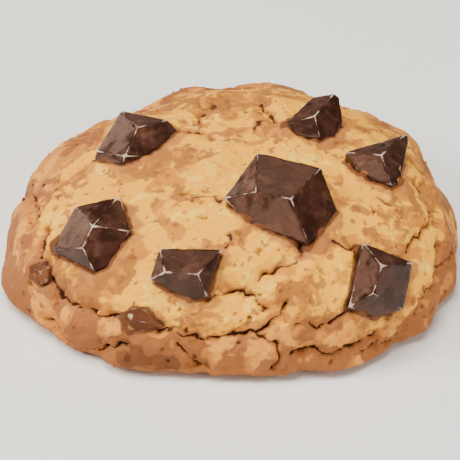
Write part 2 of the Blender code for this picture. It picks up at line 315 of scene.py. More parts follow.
# The dough's finer form, in millimetres. Directions are in degrees round from +X.
doughSkin = {
    "rings": 176,
    "warp": 1.6,  # clumps, crumbs, and the stains with their painted light and shade, are bent out of true by up to this
    "warpSize": 3.0,
    "clumpSize": 5.2,
    "clumpEdge": 0.16,  # how soon a clump rises from its edge, in its own widths
    "clumpHeight": 0.42,
    "clumpGroups": 11.0,
    "crumbSize": 1.7,
    "crumbEdge": 0.2,
    "crumbHeight": 0.2,
    "roughGroups": 6.0,
    "roughByCracks": 2.2,
    "grainSize": 0.8,
    "grainHeight": 0.09,
    "pitSize": 1.6,
    "pitDepth": 0.55,
    "pitGroups": 8.0,
    "lipHeight": 0.95,  # the dough rises round each piece of chocolate
    "lipReach": 2.3,
    "lipTowards": 235,  # most on this side
    "overlap": 1.5,  # and creeps this far over its low edges
    "creepSize": 2.1,
    "chipShare": 0.6,  # round a chip all of it reaches only this much as far
    # how far the painted contact shadow reaches from the chocolate
    "contactShadowReach": 0.8,
    "shadeTowards": 335,  # a painted shadow beside the chocolate, most on this side
    "shadeReach": 2.3,
    "rimBrowning": 0.6,
    "footBrowning": 0.5,
    "footBand": 9.0,
    "crackBrowning": 0.2,
    "crackBrownReach": 1.6,
    # a painted shade on the back slope
    "backPaintedShade": 0.24,
    "backStart": 0.0,  # how far north of the middle that painted shade starts and is full
    "backFull": 27.0,
    # how far down the skin the brown rim starts, in each direction
    "rimStart": (
        (0, 39),
        (20, 37),
        (45, 34),
        (90, 33),
        (135, 32),
        (165, 33),
        (190, 43),
        (205, 43),
        (225, 47),
        (240, 46),
        (262, 48),
        (280, 45),
        (300, 47),
        (318, 52),
        (335, 46),
        (347, 43),
    ),
}

# Each noise is read at a place of its own, so that no two rise and fall together
noisePlaces = {
    "lump": (0, 0, 0),
    "wander": (3, 0, 9),
    "fineWander": (0, 7, 2),
    "opening": (11, 4, 4),
    "warp": (1, 2, 3),
    "clump": (0.3, 0.7, 0.5),
    "clumpGroups": (6, 1, 0),
    "crumb": (5.3, 2.7, 1.5),
    "roughGroups": (2, 8, 1),
    "grain": (9, 9, 9),
    "pit": (4, 6, 8),
    "pitGroups": (14, 3, 5),
    "creep": (2, 2, 7),
}

# Patches painted browner (or paler, below zero) than the rest: place, radius and how much. Some are stains,
# some a painted shadow beside the chunks and cracks, and some of the pale ones a painted highlight on the
# rolls of the rim
stainsAndPaintedLight = (
    ((-20, -8), 1.1, 1.0),
    ((-34, -4), 3.0, 0.9),
    ((-15, 3), 2.4, 0.9),
    ((-12, -1), 1.3, 1.0),
    ((-10, -12), 1.6, 1.0),
    ((-22, -17), 1.8, 0.7),
    ((-8, 18), 2.2, 0.8),
    ((-12, 24), 3.6, 0.7),
    ((-8, 7), 3.0, 0.6),
    ((-17, 14), 1.8, 0.8),
    ((-33, 13), 2.6, 0.9),
    ((13, -13), 1.7, 0.9),
    ((14, -21), 1.8, 0.9),
    ((26, -16), 1.8, 0.9),
    ((32, -12), 1.8, 0.9),
    ((18, -10), 1.4, 0.8),
    ((20, 14), 1.8, 0.9),
    ((35, 4), 3.0, 1.0),
    ((42, -16), 2.6, 0.9),
    ((38, -6), 1.7, 1.0),
    ((10, -29), 2.4, 0.9),
    ((10, 4), 1.8, 0.7),
    ((-24, -35), 1.8, 0.7),
    ((-6, -44), 1.6, 0.8),
    ((8, -40), 2.0, 0.8),
    ((20, -41), 2.0, 0.9),
    ((-34, -41), 2.6, 0.9),
    ((-46, -29), 2.4, 0.8),
    ((-23, -49), 3.8, 2.0),
    ((-15, -53), 4.0, 2.0),
    ((14, -53), 2.6, 0.9),
    ((34, -44), 2.4, 1.0),
    ((16, -46), 1.5, 1.0),
    ((41, -36), 2.0, 0.9),
    ((-26, -42), 2.0, -1.0),
    ((-16, -46), 1.4, -1.0),
    ((-4, -50), 2.6, -1.0),
    ((5, -51), 2.4, -1.0),
    ((-42, -30), 1.6, -1.0),
    ((-35, -36), 1.8, -1.0),
    ((10, -45), 1.6, -1.0),
    ((24, -42), 1.8, -1.0),
    ((30, -48), 1.3, -1.0),
    ((2, -40), 2.2, -1.0),
    ((-12, -40), 2.0, -1.0),
    ((-26, -24), 1.8, -0.8),
    ((32, -38), 1.6, -1.0),
    ((45, -8), 1.8, -0.8),
)


def smoothStep(value, low, high):
    share = np.clip((value - low) / (high - low), 0, 1)
    return share * share * (3 - 2 * share)


def noiseOver(points, size, place):
    return np.array([noise.noise(point) for point in (points / size + np.array(place, float)).tolist()])


def warpOver(points, size, place):
    axisStep = 17.3  # far enough apart that the three axes differ
    start = np.array(place, float)
    return np.stack([noiseOver(points, size, start + axis * axisStep) for axis in range(3)], axis=1)


def cellsOver(points, size, place):
    # distance to the nearest cell wall, in cells
    found = [noise.voronoi(point)[0] for point in (points / size + np.array(place, float)).tolist()]
    return np.array([far - near for near, far, *rest in found])


def domeProfile():
    angles = np.linspace(math.pi / 2, 0, dome["profileSteps"])
    radii = dome["width"] / 2 * np.clip(np.cos(angles), 0, 1) ** (2 / dome["power"])
    heights = dome["waistHeight"] + (dome["height"] - dome["waistHeight"]) * np.sin(angles)
    steps = np.hypot(np.diff(radii), np.diff(heights))
    return radii, heights, np.concatenate([[0], np.cumsum(steps)])


profileRadii, profileHeights, profileLengths = domeProfile()
waistLength = profileLengths[-1]
skirtLength = math.hypot(dome["width"] / 2 * (1 - dome["footShare"]), dome["waistHeight"])
skirtLength *= dome["skirtStretch"]
skinLength = waistLength + skirtLength


def skinPoints(east, north):
    # the smooth dome under arrays of places, in millimetres
    along = np.hypot(east, north)
    angle = np.arctan2(north, east)
    half = dome["width"] / 2
    foot = dome["footShare"]
    turn = np.clip((along - waistLength) / skirtLength, 0, 1) * math.pi / 2
    onDome = along < waistLength
    radius = np.where(
        onDome, np.interp(along, profileLengths, profileRadii), half * (foot + (1 - foot) * np.cos(turn))
    )
    height = np.where(
        onDome, np.interp(along, profileLengths, profileHeights), dome["waistHeight"] * (1 - np.sin(turn))
    )
    lean = np.where(onDome, 1 - (radius / half) ** 2, 0)
    swell = sum(rise * np.cos(waves * (angle - math.radians(crest))) for waves, rise, crest in dome["waves"])
    radius = radius * (1 + (swell - dome["waveSink"]) / half)
    x = radius * np.cos(angle) + dome["topShift"][0] * lean + dome["centring"][0]
    y = dome["depthShare"] * radius * np.sin(angle) + dome["topShift"][1] * lean + dome["centring"][1]
    return np.stack([x, y, height], axis=1)


def skinNormals(east, north):
    step = 0.05
    across = skinPoints(east + step, north) - skinPoints(east - step, north)
    away = skinPoints(east, north + step) - skinPoints(east, north - step)
    normals = np.cross(across, away)
    return normals / np.linalg.norm(normals, axis=1)[:, None]


def pieceFrame(place):
    # where a piece of chocolate stands, and its axes as rows: east, north and out of the dough
    east, north = np.array([place[0]]), np.array([place[1]])
    out = skinNormals(east, north)[0]
    right = np.array([1.0, 0, 0]) - out * out[0]
    right /= np.linalg.norm(right)
    return skinPoints(east, north)[0], np.stack([right, np.cross(out, right), out])


def lineDistance(east, north, line):
    nearest = np.full(len(east), np.inf)
    for (x0, y0), (x1, y1) in zip(line, line[1:]):
        runX, runY = x1 - x0, y1 - y0
        share = np.clip(((east - x0) * runX + (north - y0) * runY) / (runX**2 + runY**2), 0, 1)
        nearest = np.minimum(nearest, np.hypot(east - x0 - share * runX, north - y0 - share * runY))
    return nearest


def segmentDistance(points, start, end):
    run = end - start
    share = np.clip((points - start) @ run / (run @ run), 0, 1)
    return np.linalg.norm(points - start - share[:, None] * run, axis=1)


def insideOutline(x, y, corners):
    inside = np.zeros(len(x), bool)
    for (x0, y0), (x1, y1) in zip(corners, corners[1:] + corners[:1]):
        crosses = ((y0 > y) != (y1 > y)) & (x < (x1 - x0) * (y - y0) / ((y1 - y0) or 1e-9) + x0)
        inside ^= crosses
    return inside


def rollSwell(angle):
    degrees = np.degrees(angle) % 360
    creases = np.array(dome["rollCreases"], float)
    edges = np.concatenate([[creases[-1] - 360], creases, [creases[0] + 360]])
    index = np.searchsorted(edges, degrees, side="right")
    share = (degrees - edges[index - 1]) / (edges[index] - edges[index - 1])
    bulge = np.sin(math.pi * share) ** dome["rollRoundness"]
    return dome["rollSwell"] * (bulge - dome["rollSink"])


def latticeRings(count):
    # triangles of a hexagon in equal rings: each vertex as (ring share, turn), and the faces
    rings, turns, faces = [0.0], [0.0], []
    starts = [0]
    for ring in range(1, count + 1):
        starts.append(1 + 3 * ring * (ring - 1))
        rings += [ring / count] * (6 * ring)
        turns += [step / ring * math.pi / 3 for step in range(6 * ring)]
    for ring in range(1, count + 1):
        inner = max(1, 6 * (ring - 1))
        for step in range(6 * ring):
            sector, within = divmod(step, ring)
            outerA = starts[ring] + step
            outerB = starts[ring] + (step + 1) % (6 * ring)
            innerA = starts[ring - 1] + (sector * (ring - 1) + within) % inner
            faces.append((outerA, outerB, innerA))
            if within < ring - 1:
                innerB = starts[ring - 1] + (sector * (ring - 1) + within + 1) % inner
                faces.append((innerA, outerB, innerB))
    return np.array(rings), np.array(turns), faces


def addPiece(name, points, faces, look):
    mesh = bpy.data.meshes.new(name)
    mesh.from_pydata(points.tolist(), [], faces)
    mesh.materials.append(look)
    mesh.shade_smooth()
    piece = bpy.data.objects.new(name, mesh)
    bpy.context.scene.collection.objects.link(piece)
    return piece


def addAttribute(piece, name, values):
    layer = piece.data.attributes.new(name, "FLOAT", "POINT")
    layer.data.foreach_set("value", values.astype(np.float32))


# Shader and geometry trees: a Wire is one output, and arithmetic on it adds Math nodes
class Wire:
    def __init__(self, board, socket):
        self.board = board
        self.socket = socket

    def __add__(self, other):
        return self.board.math("ADD", self, other)

    def __radd__(self, other):
        return self.board.math("ADD", other, self)

    def __sub__(self, other):
        return self.board.math("SUBTRACT", self, other)

    def __rsub__(self, other):
        return self.board.math("SUBTRACT", other, self)

    def __mul__(self, other):
        return self.board.math("MULTIPLY", self, other)

    def __rmul__(self, other):
        return self.board.math("MULTIPLY", other, self)


class Board:
    def __init__(self, tree):
        self.tree = tree

    def node(self, kind, settings=None, sockets=None):
        made = self.tree.nodes.new(kind)
        for name, value in (settings or {}).items():
            setattr(made, name, value)
        for key, value in (sockets or {}).items():
            if isinstance(value, Wire):
                self.tree.links.new(value.socket, made.inputs[key])
            else:
                made.inputs[key].default_value = value
        return made

    def wire(self, kind, settings=None, sockets=None, output=0):
        return Wire(self, self.node(kind, settings, sockets).outputs[output])

    def math(self, operation, first, second):
        return self.wire("ShaderNodeMath", {"operation": operation}, {0: first, 1: second})

    def mask(self, value, low, high, start=0.0, end=1.0):
        sockets = {"Value": value, "From Min": low, "From Max": high, "To Min": start, "To Max": end}
        return self.wire("ShaderNodeMapRange", {"interpolation_type": "SMOOTHSTEP"}, sockets)

    def blend(self, share, first, second):
        sockets = {0: share, 6: first, 7: second}
        return self.wire("ShaderNodeMix", {"data_type": "RGBA"}, sockets, output=2)

    def attribute(self, name):
        return self.wire("ShaderNodeAttribute", {"attribute_name": name}, output=2)

    def millimetres(self, shift=(0, 0, 0)):
        place = self.wire("ShaderNodeTexCoord", output=3)
        scaled = self.wire("ShaderNodeVectorMath", {"operation": "SCALE"}, {0: place, "Scale": 1 / mm})
        return self.wire("ShaderNodeVectorMath", {"operation": "ADD"}, {0: scaled, 1: shift})

    def noise(self, place, size, detail=3.0, roughness=0.5, distortion=0.0):
        sockets = {
            "Vector": place,
            "Scale": 1 / size,
            "Detail": detail,
            "Roughness": roughness,
            "Distortion": distortion,
        }
        return self.wire("ShaderNodeTexNoise", None, sockets)


def newMaterial(name):
    look = bpy.data.materials.new(name)
    look.use_nodes = True
    board = Board(look.node_tree)
    return look, board, look.node_tree.nodes["Principled BSDF"]


def colour(red, green, blue):
    # a colour as a painter reads it, 0 to 255, for Blender's linear sockets
    def linear(value):
        share = value / 255
        return share / 12.92 if share <= 0.04045 else ((share + 0.055) / 1.055) ** 2.4

    return (linear(red), linear(green), linear(blue), 1.0)


# The dough's colours, from the pale top down to the browned rim
doughLook = {
    "top": colour(247, 174, 44),
    "topPale": colour(252, 204, 76),
    "topWarm": colour(206, 134, 46),
    "topBrown": colour(164, 106, 53),
    "shade": colour(172, 111, 62),  # painted shadow beside the chocolate, and painted shade beside the cracks
    "rim": colour(196, 125, 54),
    "rimPale": colour(226, 152, 64),
    "rimDark": colour(148, 91, 52),
    "burnt": colour(92, 54, 32),
    # painted shade in the cracks and pits
    "crack": colour(44, 22, 14),
    "paintedContactShadow": colour(88, 48, 33),  # painted contact shadow where the dough touches the chocolate
    "speck": colour(112, 70, 44),
}

# How wide the dough's patches of colour are, in millimetres
doughPatches = {"broad": 9.0, "patch": 5.0, "blotch": 2.8, "spot": 1.9, "speck": 1.1, "fine": 0.7}


def doughMaterial():
    look, board, shader = newMaterial("bakedDough")
    # what the mesh carries: how baked and how raised each point is, and its stains; the baking holds a
    # painted shade on the back, and the stains painted shadows and highlights
    bakedAndShaded = board.attribute("bakedAndShaded")
    height = board.attribute("height")
    stainAndPaintedLight = board.attribute("stainAndPaintedLight")
    broad = board.noise(board.millimetres(), doughPatches["broad"], 2.0, 0.5, 0.5)
    patch = board.noise(board.millimetres((12, 44, 5)), doughPatches["patch"], 2.0, 0.5, 0.6)
    blotch = board.noise(board.millimetres((31, 7, 3)), doughPatches["blotch"], 2.0, 0.5, 0.5)
    spotty = board.noise(board.millimetres((9, 4, 70)), doughPatches["spot"], 1.0)
    speckled = board.noise(board.millimetres((70, 2, 8)), doughPatches["speck"], 2.0, 0.6)
    fine = board.noise(board.millimetres((5, 50, 9)), doughPatches["fine"], 3.0, 0.6)
    ragged = (fine - 0.5) * 0.06  # keeps every patch's edge from being smooth
    # the top browns in patches
    # raised parts are painted a little paler and dips a little browner: a painted light and shade
    paleness = patch * 0.6 + blotch * 0.4 + height * 0.03 - bakedAndShaded * 0.3 - stainAndPaintedLight * 0.1 + ragged
    pale = board.mask(paleness, 0.55, 0.57)
    surface = board.blend(pale * 0.7, doughLook["top"], doughLook["topPale"])
    browner = bakedAndShaded * 0.3 + stainAndPaintedLight * 0.1 - height * 0.03 + ragged
    warm = board.mask(broad * 0.6 + patch * 0.4 + browner, 0.52, 0.565)
    surface = board.blend(warm, surface, doughLook["topWarm"])
    brown = board.mask(broad * 0.5 + blotch * 0.5 + browner, 0.555, 0.585)
    surface = board.blend(brown * 0.85, surface, doughLook["topBrown"])
    spots = board.mask(spotty * 0.8 + broad * 0.2 + bakedAndShaded * 0.08 + ragged, 0.62, 0.65)
    surface = board.blend(spots * 0.7, surface, doughLook["rimDark"])
    # and the rim all over, darker low down
    paler = board.mask(patch - bakedAndShaded * 0.1 - stainAndPaintedLight * 0.2 + ragged, 0.44, 0.52)
    rim = board.blend(paler, doughLook["rim"], doughLook["rimPale"])
    rimTone = board.mask(broad * 0.7 + blotch * 0.3 + bakedAndShaded * 0.25 + stainAndPaintedLight * 0.15 + ragged, 0.63, 0.68)
    rim = board.blend(rimTone * 0.9, rim, doughLook["rimDark"])
    burnt = board.mask(stainAndPaintedLight + (blotch - 0.5), 0.9, 1.2)
    rim = board.blend(burnt * 0.6, rim, doughLook["burnt"])
    baked = board.mask(bakedAndShaded + (blotch - 0.5) * 0.5 + (patch - 0.5) * 0.5, 0.3, 0.5)
    surface = board.blend(baked, surface, rim)
    # a painted shadow beside the chocolate
    surface = board.blend(board.attribute("shade") * 0.8, surface, doughLook["shade"])
    surface = board.blend(board.mask(speckled, 0.69, 0.74) * 0.5, surface, doughLook["speck"])
    # thin cracks painted dark with the shade inside them, and a painted brown shade beside them; the mesh
    # carries their places as a distance in millimetres
    away = board.attribute("crackAway") + (fine - 0.5) * 0.3
    surface = board.blend(board.mask(away, 1.1, 0.3) * 0.8, surface, doughLook["shade"])
    surface = board.blend(board.mask(away, 0.36, 0.14) * 0.92, surface, doughLook["crack"])
    # painted shade in the pits
    surface = board.blend(board.attribute("paintedPitShade"), surface, doughLook["crack"])
    # and a painted contact shadow where the dough meets the chocolate
    paintedContactShadow = board.mask(board.attribute("paintedContactShadow") + (fine - 0.5) * 0.5, 0.35, 0.75)
    surface = board.blend(paintedContactShadow * 0.85, surface, doughLook["paintedContactShadow"])
    board.tree.links.new(surface.socket, shader.inputs["Base Color"])
    rough = board.mask(blotch, 0.3, 0.7, 0.55, 0.85)
    board.tree.links.new(rough.socket, shader.inputs["Roughness"])
    grain = fine * 0.7 + blotch * 0.3
    bump = board.wire("ShaderNodeBump", None, {"Strength": 0.5, "Distance": 0.0003, "Height": grain})
    board.tree.links.new(bump.socket, shader.inputs["Normal"])
    shader.inputs["Specular IOR Level"].default_value = 0.14
    return look


# The chocolate's colours, dark for the chunks and milk for the chips, with the painted highlights of their
# edges and of a glint
chocolateLook = {
    "dark": colour(46, 26, 19),
    "darkWarm": colour(64, 38, 29),
    "bloom": colour(106, 72, 57),
    # a painted highlight on the cut edges
    "edge": colour(220, 194, 176),
    # the painted glint's colour
    "paintedGlint": colour(216, 178, 146),
    "milk": colour(114, 70, 44),
    "milkDark": colour(90, 54, 36),
    "sheen": (1.0, 0.8, 0.7, 1.0),
}

# How wide the chocolate's patches are, in millimetres, and how wide the painted highlight along its cut
# edges is
chocolatePatches = {"streak": 4.5, "bloom": 3.5, "break": 1.6, "fine": 0.6}
paintedEdgeHighlight = {"width": 0.14, "atCorners": 0.24, "broken": 0.6, "rough": 0.2}


def chocolateMaterial(name, base, warmer, edgeHighlightShare, gloss):
    look, board, shader = newMaterial(name)
    streak = board.noise(board.millimetres(), chocolatePatches["streak"], 3.0, 0.5, 0.3)
    cloudy = board.noise(board.millimetres((40, 4, 4)), chocolatePatches["bloom"], 3.0, 0.65, 0.8)
    broken = board.noise(board.millimetres((3, 30, 3)), chocolatePatches["break"], 2.0)
    fine = board.noise(board.millimetres((8, 3, 60)), chocolatePatches["fine"], 3.0, 0.6)
    surface = board.blend(board.mask(streak, 0.42, 0.6), base, warmer)
    surface = board.blend(board.mask(cloudy, 0.52, 0.7) * 0.35, surface, chocolateLook["bloom"])
    # a painted highlight along the cut edges, widest at their corners
    highlightSpread = board.attribute("glint") * paintedEdgeHighlight["atCorners"] + (broken - 0.5) * paintedEdgeHighlight["broken"]
    highlightSpread = highlightSpread + (fine - 0.5) * paintedEdgeHighlight["rough"] - paintedEdgeHighlight["width"]
    edge = board.mask(board.attribute("edgeAway") - highlightSpread, paintedEdgeHighlight["width"], 0.0)
    edge = edge * board.attribute("raised")
    surface = board.blend(edge * edgeHighlightShare, surface, chocolateLook["edge"])
    # a painted glint on a chip's crown
    paintedGlint = board.mask(board.attribute("paintedGlint") + (fine - 0.5) * 0.4, 0.45, 0.6)
    surface = board.blend(paintedGlint * 0.8, surface, chocolateLook["paintedGlint"])
    board.tree.links.new(surface.socket, shader.inputs["Base Color"])
    rough = board.mask(fine * 0.5 + streak * 0.5, 0.35, 0.65, 0.14, 0.3)
    board.tree.links.new(rough.socket, shader.inputs["Roughness"])
    grain = streak + fine * 0.3
    bump = board.wire("ShaderNodeBump", None, {"Strength": 0.25, "Distance": 0.0002, "Height": grain})
    board.tree.links.new(bump.socket, shader.inputs["Normal"])
    shader.inputs["Specular IOR Level"].default_value = gloss
    shader.inputs["Specular Tint"].default_value = chocolateLook["sheen"]
    return look


def rimStart(angle):
    degrees = np.degrees(angle) % 360
    marks = doughSkin["rimStart"]
    turns = [mark[0] for mark in marks] + [marks[0][0] + 360]
    lengths = [mark[1] for mark in marks] + [marks[0][1]]
    return np.interp(degrees, turns, lengths)


def pieceOutline(piece, sunk, sunkShare):
    # the outline of a piece of chocolate where the dough meets it
    outline = np.array(piece["outline"], float)
    middle = outline[:, :2].mean(axis=0)
    share = 1 - (1 - sunkShare) * outline[:, 2] / (outline[:, 2] + sunk)
    return [tuple(corner) for corner in middle + (outline[:, :2] - middle) * share[:, None]]


class DoughForm:
    # the dough's skin, point by point: its relief over the smooth dome, and what shapes it
    def __init__(self):
        rings, turns, self.faces = latticeRings(doughSkin["rings"])
        self.along = rings * skinLength
        self.east, self.north = self.along * np.cos(turns), self.along * np.sin(turns)
        self.angle = np.arctan2(self.north, self.east)
        self.flat = np.stack([self.east, self.north, np.zeros_like(self.east)], axis=1)
        self.base = skinPoints(self.east, self.north)
        self.out = skinNormals(self.east, self.north)
        self.out[0] = (0, 0, 1)
        self.relief = np.zeros(len(self.east))

    def noise(self, name, size):
        return noiseOver(self.flat, size, noisePlaces[name])

    def warp(self, name, size):
        return warpOver(self.flat, size, noisePlaces[name])

    def swell(self):
        # the same broad relief as the solid
        for (x, y), swell, radius in dome["swells"]:
            away = np.hypot(self.east - x, self.north - y)
            self.relief += swell * np.exp(-((away / radius) ** 2))
        self.lump = self.noise("lump", dome["lumpSize"])
        self.relief += dome["lumpHeight"] * self.lump
        self.sideShare = np.exp(-((np.maximum(0, waistLength - self.along) / dome["rollFade"]) ** 2))
        self.relief += rollSwell(self.angle) * self.sideShare

    def crack(self):
        # cracks wander, widen and break off
        wander = cracks["wander"] * self.warp("wander", cracks["wanderSize"])
        wander += cracks["fineWander"] * self.warp("fineWander", cracks["fineWanderSize"])
        east, north = self.east + wander[:, 0], self.north + wander[:, 1]
        self.wide = np.min([lineDistance(east, north, line) for line in cracks["wide"]], axis=0)
        self.hairline = np.min([lineDistance(east, north, line) for line in cracks["hairline"]], axis=0)
        self.opening = smoothStep(self.noise("opening", cracks["openingSize"]), -0.45, 0.25)
        splitWidth = cracks["splitWidth"] * (0.55 + self.opening)
        split = np.exp(-((self.wide / splitWidth) ** 2)) * (0.25 + 0.75 * self.opening)
        thin = np.exp(-((self.hairline / cracks["hairlineWidth"]) ** 2)) * self.opening
        groove = np.exp(-self.wide / cracks["reach"]) * (0.5 + 0.5 * self.opening)
        fromLip = (self.wide - cracks["lipDistance"]) / cracks["lipWidth"]
        self.relief += cracks["lipHeight"] * np.exp(-(fromLip**2)) - cracks["depth"] * groove
        self.relief -= cracks["splitDepth"] * split + cracks["hairlineDepth"] * thin

    def crumble(self):
        # clumps, crumbs and pits
        self.warped = self.flat + self.warp("warp", doughSkin["warpSize"]) * doughSkin["warp"]
        wall = cellsOver(self.warped, doughSkin["clumpSize"], noisePlaces["clump"])
        clumpy = smoothStep(self.noise("clumpGroups", doughSkin["clumpGroups"]), -0.35, 0.3)
        clump = 1 - np.exp(-wall / doughSkin["clumpEdge"])
        self.relief += doughSkin["clumpHeight"] * (clump - 0.8) * (0.25 + 0.75 * clumpy)
        self.clump = clump * clumpy
        crumbWall = cellsOver(self.warped, doughSkin["crumbSize"], noisePlaces["crumb"])
        crumb = 1 - np.exp(-crumbWall / doughSkin["crumbEdge"])
        self.rough = smoothStep(self.noise("roughGroups", doughSkin["roughGroups"]), -0.1, 0.4)
        self.nearCrack = np.exp(-self.wide / doughSkin["roughByCracks"])
        roughness = 0.15 + 0.6 * self.rough * clumpy + 0.7 * self.nearCrack + 0.25 * self.sideShare
        roughness = np.clip(roughness, 0, 1)
        self.relief += doughSkin["crumbHeight"] * (crumb - 0.6) * roughness
        self.crumb = crumb * roughness
        grain = self.noise("grain", doughSkin["grainSize"])
        self.relief += doughSkin["grainHeight"] * grain * (0.4 + roughness)
        self.pits = smoothStep(self.noise("pit", doughSkin["pitSize"]), 0.36, 0.52)
        self.pits *= smoothStep(self.noise("pitGroups", doughSkin["pitGroups"]), 0.0, 0.3)
        self.relief -= doughSkin["pitDepth"] * self.pits

    def hugChocolate(self):
        self.nearChocolate = np.zeros(len(self.east))
        self.shade = np.zeros(len(self.east))
        self.creep = self.noise("creep", doughSkin["creepSize"])
        for kind, reachShare in ((chunks, 1.0), (chips, doughSkin["chipShare"])):
            for piece in kind["pieces"].values():
                self.hugPiece(piece, kind, reachShare)

    def hugPiece(self, piece, kind, reachShare):
        origin, axes = pieceFrame(piece["place"])
        near = np.where(np.linalg.norm(self.base - origin, axis=1) < largestPiece)[0]
        x, y, _ = ((self.base[near] - origin) @ axes.T).T
        corners = pieceOutline(piece, kind["sunk"], kind["sunkShare"])
        distance = lineDistance(x, y, corners + corners[:1])
        distance = np.where(insideOutline(x, y, corners), -distance, distance)
        towards = np.arctan2(y, x)
        creep = self.creep[near]
        # the dough rises in a lip, creeps over the piece's low edges, and dips under it
        lowSide = 0.5 + 0.5 * np.cos(towards - math.radians(doughSkin["lipTowards"]))
        lip = doughSkin["lipHeight"] * reachShare * (0.35 + 0.65 * lowSide) * (0.75 + 1.1 * creep)
        outside = np.exp(-((np.maximum(distance, 0) / doughSkin["lipReach"]) ** 2))
        overlap = doughSkin["overlap"] * reachShare
        self.relief[near] += lip * outside * smoothStep(-distance, 2 * overlap, overlap)
        dip = smoothStep(-distance, overlap, overlap + 0.7)
        self.relief[near] = self.relief[near] * (1 - dip) - (kind["sunk"] + 0.2) * dip
        # a painted contact shadow where it touches, and a painted shadow beside the piece
        touching = np.exp(-((distance / doughSkin["contactShadowReach"]) ** 2))
        self.nearChocolate[near] = np.maximum(self.nearChocolate[near], touching)
        shaded = 0.5 + 0.5 * np.cos(towards - math.radians(doughSkin["shadeTowards"]))
        reach = doughSkin["shadeReach"] * reachShare * (0.25 + 0.75 * shaded) * (1 + 0.9 * creep)
        self.shade[near] = np.maximum(self.shade[near], smoothStep(reach - distance, -0.1, 0.5))

    def points(self):
        # the relief fades towards the foot, and the underside stays flat on the table
        height = self.base[:, 2]
        footFade = np.minimum(1, height / dome["waistHeight"])
        points = self.base + self.out * (self.relief * (0.4 + 0.6 * footFade))[:, None]
        points[:, 2] = np.where(height < 0.01, height, np.maximum(points[:, 2], 0.3 * height))
        return points

    def browningAndShade(self):
        # the rim, the foot and the cracks bake browner than the top, and a painted shade darkens the back
        pastRim = self.along - rimStart(self.angle)
        browningAndShade = smoothStep(pastRim + 2.5 * self.lump, -2.5, 3.0) * doughSkin["rimBrowning"]
        towardsFoot = smoothStep(self.along, waistLength - doughSkin["footBand"], skinLength)
        browningAndShade += doughSkin["footBrowning"] * towardsFoot
        browningAndShade += doughSkin["crackBrowning"] * np.exp(-self.wide / doughSkin["crackBrownReach"])
        towardsBack = smoothStep(self.base[:, 1], doughSkin["backStart"], doughSkin["backFull"])
        # a painted shade towards the back
        browningAndShade += doughSkin["backPaintedShade"] * towardsBack * smoothStep(-pastRim, -4, 6)
        return np.clip(browningAndShade - 0.1 * self.clump, 0, 1)

    def paintedStainsAndLight(self):
        stainAndPaintedLight = np.zeros(len(self.east))
        for (x, y), radius, strength in stainsAndPaintedLight:
            away = np.hypot(self.warped[:, 0] - x, self.warped[:, 1] - y)
            stainAndPaintedLight += strength * np.exp(-((away / radius) ** 2))
        return stainAndPaintedLight


def buildDough(look):
    form = DoughForm()
    form.swell()
    form.crack()
    form.crumble()
    form.hugChocolate()
    count = len(form.east)
    rimRing = range(count - 6 * doughSkin["rings"], count)
    underside = tuple(reversed(rimRing))
    piece = addPiece("doughBody", form.points() * mm, form.faces + [underside], look)

    # what the material and the crumbs read
    fromWide = form.wide / (0.45 + 0.75 * form.opening)
    fromHairline = form.hairline / (0.3 + 0.8 * form.opening)
    raised = form.clump + 0.6 * form.lump + 0.4 * form.crumb
    crumbly = 0.1 + 0.9 * form.nearCrack + 0.35 * form.sideShare * form.rough - 2 * form.nearChocolate
    crumbly *= smoothStep(form.base[:, 2], 1.2, 3.5)  # none low enough to reach the table
    addAttribute(piece, "bakedAndShaded", form.browningAndShade())
    # stains, with painted shadows beside the chunks and painted highlights on the rim
    addAttribute(piece, "stainAndPaintedLight", form.paintedStainsAndLight())
    # the painted shadow beside the chocolate
    addAttribute(piece, "shade", form.shade)
    addAttribute(piece, "crackAway", np.minimum(np.minimum(fromWide, fromHairline), 4))
    # painted shade in the pits
    addAttribute(piece, "paintedPitShade", 0.6 * form.pits)
    # the painted contact shadow, ragged along the creeping edge
    addAttribute(piece, "paintedContactShadow", form.nearChocolate * (0.7 + 0.3 * smoothStep(form.creep, -0.3, 0.2)))
    addAttribute(piece, "height", np.clip(raised, -1, 1))
    addAttribute(piece, "crumbly", np.clip(crumbly, 0, 1))
    return piece


def cutBlock(piece, kind):
    # a piece's mesh with every cut edge narrowly rounded, and its edges while they were sharp
    outline = [Vector(corner) for corner in piece["outline"]]
    middle = sum(outline, Vector()) / len(outline)
    buried = [middle + (corner - middle) * kind["sunkShare"] for corner in outline]
    bm = bmesh.new()
    for corner in (*piece["outline"], *piece["crown"]):
        bm.verts.new(corner)
    for corner in buried:
        bm.verts.new((corner.x, corner.y, -kind["sunk"]))
    hull = bmesh.ops.convex_hull(bm, input=bm.verts[:])
    spare = hull["geom_interior"] + hull["geom_unused"]
    loose = [part for part in spare if isinstance(part, bmesh.types.BMVert)]
    bmesh.ops.delete(bm, geom=loose, context="VERTS")
    flat = math.radians(kind["flatWithin"])
    bmesh.ops.dissolve_limit(bm, angle_limit=flat, verts=bm.verts[:], edges=bm.edges[:])
    cutEdges = [(np.array(edge.verts[0].co), np.array(edge.verts[1].co)) for edge in bm.edges]
    edgeLayer = bm.verts.layers.float.new("edge")
    rounded = bmesh.ops.bevel(
        bm,
        geom=bm.edges[:],
        offset=kind["edgeWidth"],
        offset_type="OFFSET",
        segments=2,  # so that a line of points runs along each edge's middle
        profile=edgeRoundness,
        affect="EDGES",
    )
    strip = set(rounded["faces"])
    for vert in bm.verts:
        vert[edgeLayer] = 1.0 if all(face in strip for face in vert.link_faces) else 0.0
    return bm, cutEdges


